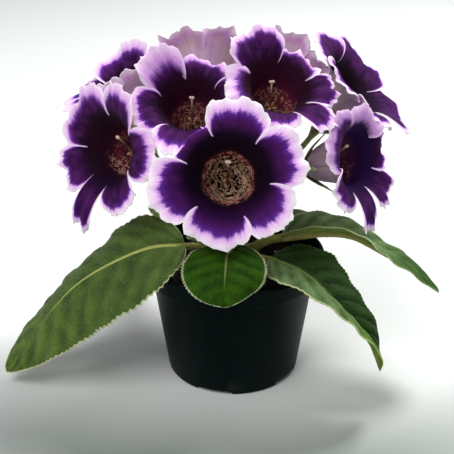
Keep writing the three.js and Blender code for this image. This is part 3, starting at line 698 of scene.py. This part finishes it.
def lathe(profile, sides):
    """A turned body. Its profile starts and ends on the axis."""
    turn = np.linspace(0, 2 * pi, sides, endpoint=False)
    rings = [polar(reach, turn, z) for reach, z in profile[1:-1]]
    middles = [[[0, 0, profile[0][1]]], [[0, 0, profile[-1][1]]]]
    count = len(rings) * sides
    return np.vstack(rings + middles), ring_faces(ring_rows(0, len(rings), sides), count, count + 1)


def cutter(points, faces):
    mesh = bpy.data.meshes.new("cutter")
    mesh.from_pydata((np.asarray(points) * MM).tolist(), [], faces)
    cut = bpy.data.objects.new("cutter", mesh)
    scene.collection.objects.link(cut)
    return cut


def pot_piece(material):
    """The pot with rounded lip and foot, its drain notches and floor slots cut through."""
    height, rim, lip, shoulder, base, wall, floor = POT.values()
    profile = rounded([
        (0, 0), (base - 1, 0), (base, 1.2), (shoulder, lip - 0.6), (rim - 1.4, lip), (rim - 0.3, height - 2),
        (rim, height - 0.8), (rim - 0.8, height), (rim - 2.2, height), (rim - 1.4 - wall * 1.2, lip + wall),
        (shoulder - wall, lip + wall - 0.8), (base - wall, floor), (0, floor)], 0.7)
    piece = Body().add(*lathe(profile, POT_SIDES)).make("nursery_pot", material, "pot", "pot")
    tools = []
    for i in range(DRAIN["count"]):
        turn = radians(DRAIN["first_angle"] + i * 360 / DRAIN["count"])
        spin = np.array([[cos(turn), sin(turn), 0], [-sin(turn), cos(turn), 0], [0, 0, 1]])
        half = DRAIN["width"] / 2
        square = [(base - 4.5, -half), (base + 4.5, -half), (base + 4.5, half), (base - 4.5, half)]
        box = np.array([[x, y, z] for z in (-3, DRAIN["height"]) for x, y in square])
        lower, upper = ring_rows(0, 2, 4)
        tools.append(cutter(box @ spin, [lower[:4][::-1], upper[:4], *strip(lower, upper)]))
        radius = DRAIN["slot_size"] / 2
        drum, drum_faces = lathe([(0, -8), (radius, -8), (radius, 8), (0, 8)], 24)
        tools.append(cutter((drum + [DRAIN["slot_radius"], 0, 0]) @ spin, drum_faces))
    for tool in tools:
        cut = piece.modifiers.new("cut", "BOOLEAN")
        cut.operation, cut.solver, cut.object = "DIFFERENCE", "EXACT", tool
    graph = bpy.context.evaluated_depsgraph_get()
    shaped = bpy.data.meshes.new_from_object(piece.evaluated_get(graph))
    piece.modifiers.clear()
    piece.data = shaped
    for tool in tools:
        bpy.data.objects.remove(tool)
    shaped.polygons.foreach_set("use_smooth", [True] * len(shaped.polygons))
    shaped.set_sharp_from_angle(angle=radians(35))
    return piece


def soil_reach(height):
    """How far out the mix reaches at a height: the pot's inside, less a gap."""
    share = (height - POT["floor"]) / (POT["lip_foot"] - POT["floor"])
    return POT["base"] + (POT["shoulder"] - POT["base"]) * share - POT["wall"] - 2 * GAP


def soil_height(reach, turn):
    """A low heap with lumps of three sizes."""
    place = Vector(polar(reach, turn, 0))
    sizes = ((0.9, 0.16), (0.8, 0.45), (0.5, 1.1))
    lumps = [height * noise.noise(place * scale) for height, scale in sizes]
    return SOIL_TOP + 1.2 - 2.2 * (reach / soil_reach(SOIL_TOP)) ** 2 + sum(lumps)


def soil_piece(material):
    """The mix: a crumbly heap round the crown, with loose crumbs and bark on it, and a plain body below."""
    hole, hole_foot = CROWN["hole"], CROWN["hole_foot"]
    reaches = np.linspace(soil_reach(SOIL_TOP - 1.5) - 0.2, hole + 0.3, 44)
    foot, middle, edge = POT["floor"] + 0.4, 40, SOIL_TOP - 4
    wall_side = [(0, foot), *((soil_reach(height), height) for height in (foot, middle, edge))]
    hole_side = [(hole, 72), (hole, 66), (hole, hole_foot), (0, hole_foot)]
    points, faces = lathe([*wall_side, *((reach, 0) for reach in reaches), *hole_side], SOIL_SIDES)
    point = (len(wall_side) - 1) * SOIL_SIDES
    for reach in reaches:
        for turn in 2 * pi * np.arange(SOIL_SIDES) / SOIL_SIDES:
            points[point, 2] = min(soil_height(reach, turn), SOIL_CEILING)
            point += 1
    body = Body().add(points, faces)
    for _ in range(CRUMBS):
        reach = 11 + (soil_reach(SOIL_TOP - 3) - 14) * random.uniform() ** 0.6
        turn = random.uniform(0, 2 * pi)
        size = random.uniform(0.5, 1.7)
        radii = (size, size * random.uniform(0.5, 1), size * 0.7)
        crumb, crumb_faces = ball((0, 0, 0), radii, random.normal(size=3), 5, 7)
        crumb = crumb * random.uniform(0.75, 1.2, (len(crumb), 1))
        crumb = crumb + polar(reach, turn, soil_height(reach, turn) + size * 0.15)
        body.add(crumb, crumb_faces, crumb=0.3 + 0.7 * random.uniform())
    return body.make("potting_mix", material, "soil", "soil")


# Materials

def linear(colour):
    """A socket's colour from display values, 0 to 255."""
    values = [channel / 255 for channel in colour]
    return tuple(c / 12.92 if c <= 0.04045 else ((c + 0.055) / 1.055) ** 2.4 for c in values) + (1.0,)


class Value:
    """What a node puts out. Arithmetic on it adds nodes."""

    def __init__(self, nodes, socket):
        self.nodes, self.socket = nodes, socket

    def __add__(self, other):
        return self.nodes.math("ADD", self, other)

    def __sub__(self, other):
        return self.nodes.math("SUBTRACT", self, other)

    def __mul__(self, other):
        return self.nodes.math("MULTIPLY", self, other)

    def __truediv__(self, other):
        return self.nodes.math("DIVIDE", self, other)

    def between(self, start, end):
        """0 up to start and 1 from end on, smooth between them. end may be the lower one."""
        inputs = {"Value": self, "From Min": start, "From Max": end}
        return self.nodes.out("MapRange", "Result", inputs, interpolation_type="SMOOTHSTEP")


class Nodes:
    """A material's node tree, built from calls that return values."""

    def __init__(self, name):
        self.material = bpy.data.materials.new(name)
        self.material.use_nodes = True
        self.tree = self.material.node_tree
        self.shader = self.tree.nodes["Principled BSDF"]

    def put(self, socket, value):
        """Links or sets a socket. Three numbers for a colour are its display values."""
        if isinstance(value, Value):
            self.tree.links.new(value.socket, socket)
        elif socket.type == "RGBA" and len(value) == 3:
            socket.default_value = linear(value)
        else:
            socket.default_value = value

    def node(self, kind, inputs, **settings):
        node = self.tree.nodes.new("ShaderNode" + kind)
        for key, value in settings.items():
            setattr(node, key, value)
        for key, value in inputs.items():
            self.put(node.inputs[key], value)
        return node

    def out(self, kind, output, inputs, **settings):
        return Value(self, self.node(kind, inputs, **settings).outputs[output])

    def mark(self, name, output="Fac"):
        return self.out("Attribute", output, {}, attribute_name=name)

    def place(self):
        return self.out("TexCoord", "Object", {})

    def split(self, vector):
        return [Value(self, socket) for socket in self.node("SeparateXYZ", {0: vector}).outputs]

    def math(self, operation, a, b=0.0):
        return self.out("Math", 0, {0: a, 1: b}, operation=operation)

    def vector(self, operation, a, b=(0, 0, 0), output="Vector"):
        return self.out("VectorMath", output, {0: a, 1: b}, operation=operation)

    def noise(self, vector, scale, detail=2.0, rough=0.5, output="Fac"):
        """Noise. Its scale is one number, or one for each axis."""
        if isinstance(scale, tuple):
            vector, scale = self.vector("MULTIPLY", vector, scale), 1.0
        inputs = {"Vector": vector, "Scale": scale, "Detail": detail, "Roughness": rough}
        return self.out("TexNoise", output, inputs)

    def cells(self, vector, scale):
        """Distance to the borders of a net of cells."""
        inputs = {"Vector": vector, "Scale": scale}
        return self.out("TexVoronoi", "Distance", inputs, feature="DISTANCE_TO_EDGE")

    def mix(self, share, a, b, blend="MIX"):
        """Colour a where share is 0, and b where it is 1."""
        return self.out("Mix", 2, {"Factor": share, 6: a, 7: b}, data_type="RGBA", blend_type=blend)

    def coats(self, colour, *coats):
        """The colour under coats of (share, colour)."""
        for share, coat in coats:
            colour = self.mix(share, colour, coat)
        return colour

    def tinted(self, share, colour, by):
        """The colour, dyed where share is 1."""
        return self.mix(share, colour, self.mix(1.0, colour, (*by, 1), "MULTIPLY"))

    def ramp(self, value, stops):
        node = self.node("ValToRGB", {"Fac": value})
        elements = node.color_ramp.elements
        for i, (place, colour) in enumerate(stops):
            element = elements[i] if i < 2 else elements.new(place)
            element.position, element.color = place, linear(colour)
        return Value(self, node.outputs["Color"])

    def finish(self, colour, roughness, relief=None, **sockets):
        """The material. relief is (height, strength, distance)."""
        self.put(self.shader.inputs["Base Color"], colour)
        self.put(self.shader.inputs["Roughness"], roughness)
        if relief:
            inputs = dict(zip(("Height", "Strength", "Distance"), relief))
            self.put(self.shader.inputs["Normal"], self.out("Bump", "Normal", inputs))
        for key, value in sockets.items():
            self.put(self.shader.inputs[key.replace("_", " ")], value)
        return self.material


def petal_material():
    n = Nodes("velvet_petal")
    edge, along, back, low = (n.mark(name) for name in ("edge", "along", "back", "floor"))
    streak, spot = n.mark("streak", "Vector"), n.mark("spot", "Vector")
    laced, ruddy, upper_margin_shade = n.split(n.mark("tone", "Vector"))
    # 1 for all flowers but the front one, whose lace goes all round
    beside = laced.between(0.9, 0.4)
    fine = n.noise(streak, (1.7, 1.7, 3.2), 3.0, 0.7)
    broad = n.noise(streak, (0.28, 0.28, 0.5))
    fibres = n.noise(streak, (2.4, 2.4, 0.3))
    ragged = edge + (fine - 0.5) * 4.0 + (broad - 0.5) * 2.6 + (fibres - 0.5) * 3.0
    # The dark inside, from near black round the throat to the violet next to the pale margin
    reach = along + low.between(-0.1, 1.0) * 0.24
    dark = n.ramp(reach * 0.5, [
        (0.40, (8, 2, 12)), (0.5, (14, 2, 22)), (0.6, (38, 8, 50)), (0.74, (60, 15, 82)),
        (0.95, (74, 26, 108))])
    dark = n.tinted(beside, dark, (0.46, 0.5, 0.42))
    mottle = broad.between(0.3, 0.75) * laced.between(1.7, 0.4) * along.between(1.0, 1.35)
    # The right flower's lace is darker, and painted light lifts its inside to a lighter indigo deep in the
    # throat
    right_flower = ruddy.between(0.28, 0.22) * beside
    dark = n.coats(
        dark, (ragged.between(13.0, 8.0) * along.between(1.12, 1.5), (84, 34, 132)),
        (fine.between(0.52, 0.8) * along.between(1.1, 1.5), (96, 32, 122)), (mottle * 0.5, (100, 38, 110)),
        (ruddy * reach.between(1.4, 0.8) * fine.between(0.1, 0.6), (52, 14, 36)),
        # Painted light: a lighter indigo on the right flower's inner face
        (right_flower * along.between(1.3, 0.9) * 0.45, (44, 14, 80)))
    margin = n.ramp(ragged / 12.0, [
        (0.0, (255, 244, 253)), (0.2, (253, 224, 253)), (0.42, (244, 196, 249)),
        (0.56, (214, 156, 236)), (0.64, (152, 96, 196)), (0.7, (96, 42, 142))])
    # Painted shade: the margins of the upper lobes turn a greyish mauve where they face away from the light
    mauve = n.mix(ragged.between(0.5, 5.0), (226, 192, 230), (196, 146, 208))
    margin = n.mix(upper_margin_shade * low.between(0.2, -0.5), margin, mauve)
    face = n.mix(ragged.between(5.4, 10.6), margin, dark)
    # The throat: rings of broken tan lines over near black, with a rusty rim, fading up the wall
    rings = n.math("SINE", along * 54.0 + n.noise(spot, 0.26) * 26.0).between(-0.1, 0.5)
    rings = rings * n.noise(streak, (0.2, 0.2, 1.4), 1.0).between(0.38, 0.5)
    swirl = n.vector("MULTIPLY", n.noise(spot, 0.2, 1.0, output="Color"), (12.0, 12.0, 8.0))
    heart = n.cells(n.vector("ADD", spot, swirl), 0.26).between(0.15, 0.05)
    lace = n.mix(along.between(0.2, 0.34), heart, rings)
    wall = along.between(0.8, 0.62) * low.between(0.1, 0.75) * laced.between(0.0, 0.25)
    lace = lace * n.math("MAXIMUM", laced * along.between(0.62, 0.52), wall)
    tan = n.mix(along.between(0.25, 0.6), (224, 186, 152), (222, 150, 134))
    tan = n.coats(tan, (beside, (255, 212, 176)), (right_flower, (170, 104, 116)))
    hollow = n.coats(
        n.mix(ruddy, (12, 3, 14), (72, 18, 48)),
        (along.between(0.64, 0.5) * fine.between(0.25, 0.65), n.mix(laced, (112, 36, 56), (108, 38, 42))),
        # Painted light: the right flower's hollow is lifted to a lighter violet
        (along.between(0.46, 0.3) * laced, (26, 14, 16)), (right_flower * 0.4, (112, 52, 100)))
    face = n.mix(along.between(0.62, 0.84), n.mix(lace, hollow, tan), face)
    # The outside: mauve with veins, pale at the margin, greener at the foot, with painted shade on the two
    # right flowers
    veins = n.noise(streak, (0.9, 0.9, 0.05), 2.0, 0.6).between(0.5, 0.72)
    outer = n.ramp(along * 0.5, [
        (0.02, (186, 176, 150)), (0.16, (194, 172, 184)), (0.45, (194, 164, 196)),
        (0.7, (206, 166, 216)), (1.0, (234, 198, 238))])
    blotches = n.noise(spot, 0.05).between(0.4, 0.62)
    outer = n.coats(outer, (blotches, (216, 190, 198)), (veins * 0.4, (154, 118, 162)))
    # Painted shade darkens the outsides of the two right flowers
    right_painted_shade = ruddy.between(0.38, 0.32) * beside * along.between(1.5, 1.1)
    outer = n.tinted(right_painted_shade, outer, (0.55, 0.56, 0.58))
    rosy, bright = ragged.between(14.0, 7.0) * 0.7, ragged.between(9.0, 1.5)
    outer = n.coats(outer, (rosy, (226, 172, 232)), (bright, (255, 232, 254)))
    grain = n.noise(streak, (2.6, 2.6, 6.0))
    return n.finish(
        n.mix(back, face, outer), grain * 0.25 + 0.6, (fine + grain * 0.35, 0.45, 0.0006), Sheen_Weight=0.02,
        Sheen_Roughness=0.4, Sheen_Tint=(190, 150, 220), Specular_IOR_Level=0.06, Subsurface_Weight=0.3,
        Subsurface_Radius=(1.0, 0.8, 1.0), Subsurface_Scale=0.0015)


def leaf_material(name, deep, mid, rib_tone, shade=(1, 1, 1), tip=(1, 1, 1), bold=1.0, velvet=0.08):
    """A leaf, between its tones mid and deep.

    shade darkens the half left of the midrib with painted shade, and tip dyes the far end. bold broadens the
    midrib's colour and makes that of the side veins stronger. velvet is the strength of the sheen."""
    n = Nodes(name)
    edge, rib, valley, along = (n.mark(name) for name in ("edge", "rib", "valley", "along"))
    place = n.place()
    mottled = n.noise(place, 70.0, 3.0, 0.6)
    fine = n.noise(place, 420.0, 2.0, 0.6)
    net = n.cells(place, 330.0).between(0.0, 0.16)
    side_vein = valley.between(0.9, 0.99) * edge.between(3.0, 12.0)
    ridge = rib / bold + along * 0.8
    top = n.coats(
        n.mix(mottled.between(0.35, 0.68) * 0.5 + valley * 0.5, mid, deep),
        (net.between(0.6, 0.0) * 0.07, rib_tone), (side_vein * (0.12 * bold), rib_tone),
        (ridge.between(1.3, 0.6) * along.between(0.85, 0.45), rib_tone),
        # A pale band along the margin: partly the pale hairs there, partly painted light glowing through them
        # from behind
        (edge.between(1.0, 0.3), (200, 208, 158)))
    # Painted shade on the half left of the midrib, where it turns away from the light
    top = n.tinted(n.mark("side").between(0.02, -0.1), top, shade)
    top = n.tinted(along.between(0.35, 0.85), top, tip)
    under = n.coats(
        n.mix(mottled.between(0.3, 0.7), (98, 120, 46), (124, 142, 60)),
        (rib.between(2.6, 1.2) * along.between(0.85, 0.7), (150, 146, 82)),
        (valley.between(0.85, 0.97) * 0.6, (156, 160, 104)))
    stem_tone = n.mix(mottled.between(0.35, 0.65), (112, 110, 46), (134, 136, 62))
    colour = n.coats(
        top, (n.mark("back"), under), (n.mark("stem"), stem_tone), (n.mark("hair"), (206, 214, 176)))
    return n.finish(
        colour, mottled * 0.22 + 0.5, (net * 0.7 + fine * 0.6, 0.6, 0.0007), Sheen_Weight=velvet,
        Sheen_Roughness=0.5, Sheen_Tint=(196, 216, 170), Specular_IOR_Level=0.06 + velvet * 2)


def stalk_material():
    n = Nodes("hairy_stalk")
    place = n.place()
    mottled = n.noise(place, 90.0, 3.0, 0.6)
    stalk_tone = n.mix(mottled.between(0.3, 0.62), (92, 78, 40), (116, 128, 62))
    colour = n.coats(
        n.mix(mottled.between(0.35, 0.7), (74, 96, 44), (108, 126, 62)),
        (n.mark("edge").between(1.4, 0.3), (120, 84, 62)), (n.mark("rib").between(1.0, 0.2), (146, 150, 92)),
        (n.mark("stem"), stalk_tone), (n.mark("hair"), (200, 206, 172)))
    grooves = n.noise(place, (900.0, 900.0, 315.0))
    return n.finish(
        colour, mottled * 0.2 + 0.5, (grooves, 0.5, 0.0005), Sheen_Weight=0.25, Sheen_Roughness=0.5,
        Specular_IOR_Level=0.3)


def pistil_material():
    n = Nodes("waxy_pistil")
    place = n.place()
    mottled = n.noise(place, 260.0, 3.0, 0.6)
    style = n.mix(n.mark("along").between(0.72, 1.05), (84, 40, 46), (214, 190, 168))
    pollen = n.mix(mottled.between(0.4, 0.6), (104, 74, 46), (168, 126, 84))
    speckles = mottled.between(0.45, 0.7) * 0.4
    colour = n.coats(style, (speckles, (150, 108, 92)), (n.mark("anther"), pollen))
    return n.finish(colour, 0.5, (n.noise(place, 1500.0), 0.4, 0.0003), Specular_IOR_Level=0.35)


def pot_material():
    n = Nodes("moulded_pot")
    place = n.place()
    broad = n.noise(place, 16.0, 3.0, 0.6)
    scuff = n.noise(place, (260.0, 260.0, 31.2), 3.0, 0.65)
    dust = n.noise(place, 75.0, 4.0, 0.7)
    grubby = dust.between(0.52, 0.7) * n.split(place)[2].between(0.02, 0.0)
    colour = n.coats(
        n.mix(broad.between(0.35, 0.65), (1, 13, 12), (4, 19, 18)),
        (scuff.between(0.62, 0.74) * 0.3, (30, 46, 48)), (grubby * 0.2, (70, 74, 66)))
    rough = broad * 0.2 + 0.33 + scuff.between(0.6, 0.75) * 0.2
    return n.finish(colour, rough, (n.noise(place, 700.0), 0.22, 0.0002), Specular_IOR_Level=0.05)


def soil_material():
    n = Nodes("potting_mix")
    place, crumb = n.place(), n.mark("crumb")
    broad = n.noise(place, 120.0, 4.0, 0.65)
    fibre = n.noise(place, (700.0, 245.0, 700.0), 3.0, 0.7)
    colour = n.coats(
        n.mix(broad.between(0.35, 0.65), (15, 12, 10), (34, 27, 21)),
        (fibre.between(0.58, 0.72) * 0.6, (70, 56, 42)),
        (crumb.between(0.3, 0.9), n.mix(fibre, (44, 32, 22), (72, 56, 40))),
        (crumb.between(0.95, 0.97), (196, 192, 180)))
    return n.finish(colour, 0.95, (broad + fibre * 0.6, 0.9, 0.0015), Specular_IOR_Level=0.15)


def floor_material():
    """A pale floor with a painted shadow that darkens it a little towards the viewer, close to the pot."""
    n = Nodes("pale_floor")
    place = n.place()
    soft = n.noise(place, 3.0)
    far = n.vector("LENGTH", place, output="Value")
    # Painted shadow: a soft grey patch in front of the pot that fades away from it
    near = (n.split(place)[1] + soft * 0.12).between(0.065, -0.055) * far.between(0.36, 0.12)
    pale = n.mix(soft, (232, 236, 234), (240, 242, 240))
    shaded = n.mix(far.between(0.3, 0.1), (176, 182, 177), (128, 137, 129))
    return n.finish(n.mix(near, pale, shaded), 0.8, Specular_IOR_Level=0.1)


# The plant

petal = petal_material()
deep_leaf = leaf_material(
    "leaf_deep", (34, 58, 18), (78, 106, 36), (172, 180, 98), tip=(1.45, 1.32, 1.4), bold=1.5)
plain_leaf = leaf_material("leaf_plain", (30, 52, 22), (84, 108, 58), (116, 130, 66))
# The parted leaf's far half carries painted shade
parted_leaf = leaf_material(
    "leaf_parted", (48, 72, 34), (108, 134, 84), (120, 138, 76), shade=(0.14, 0.25, 0.1),
    tip=(0.72, 0.92, 0.32), velvet=0.03)
bright_leaf = leaf_material("leaf_bright", (18, 50, 0), (44, 84, 0), (120, 134, 74), velvet=0.01)
pale_leaf = leaf_material(
    "leaf_pale", (60, 98, 34), (130, 156, 104), (136, 142, 70), tip=(0.2, 0.38, 0.06),
    velvet=0.05)
leaf_tones = {
    "left": deep_leaf, "right": pale_leaf, "right_front": parted_leaf, "front": bright_leaf,
    "young": bright_leaf}
stalks = stalk_material()
waxy = pistil_material()

for name, flower in FLOWERS.items():
    corolla(name, flower, petal)
    stalk(name, flower, stalks)
    pistil(name, flower, waxy)
for name, leaf in LEAVES.items():
    leaf_piece(name, leaf, leaf_tones.get(name, plain_leaf))
crown_piece(stalks)
pot_piece(pot_material())
soil_piece(soil_material())


# Floor, light and camera

def floor_piece():
    mesh = bpy.data.meshes.new("floor")
    size = 6.0
    square = [(-size, -size, 0), (size, -size, 0), (size, size, 0), (-size, size, 0)]
    mesh.from_pydata(square, [], [(0, 1, 2, 3)])
    mesh.materials.append(floor_material())
    piece = bpy.data.objects.new("floor", mesh)
    scene.collection.objects.link(piece)


def soft_light(name, place, target, size, power, colour=(1, 1, 1)):
    light = bpy.data.lights.new(name, "AREA")
    light.shape, light.size, light.energy, light.color = "DISK", size, power, colour
    lamp = bpy.data.objects.new(name, light)
    lamp.location = place
    lamp.rotation_euler = (Vector(target) - Vector(place)).to_track_quat("-Z", "Y").to_euler()
    scene.collection.objects.link(lamp)


floor_piece()
world = bpy.data.worlds.new("studio")
world.use_nodes = True
sky = world.node_tree.nodes["Background"].inputs
sky["Color"].default_value, sky["Strength"].default_value = (0.93, 0.96, 1.0, 1), 0.38
scene.world = world
soft_light("key", (0.6, 0.7, 1.45), (0, 0, 0.1), 0.5, 24, (1, 0.99, 0.97))
soft_light("front", (-0.5, -0.8, 1.3), (0, 0, 0.12), 0.9, 13, (1, 0.99, 0.98))
scene.view_settings.view_transform = "Standard"

camera_data = bpy.data.cameras.new("camera")
camera_data.sensor_width = 36.0
camera_data.lens = 74.54
camera = bpy.data.objects.new("camera", camera_data)
camera.location = (-0.004, -0.552, 0.3615)
camera.rotation_euler = (radians(64.7), 0, 0)
scene.collection.objects.link(camera)
scene.camera = camera
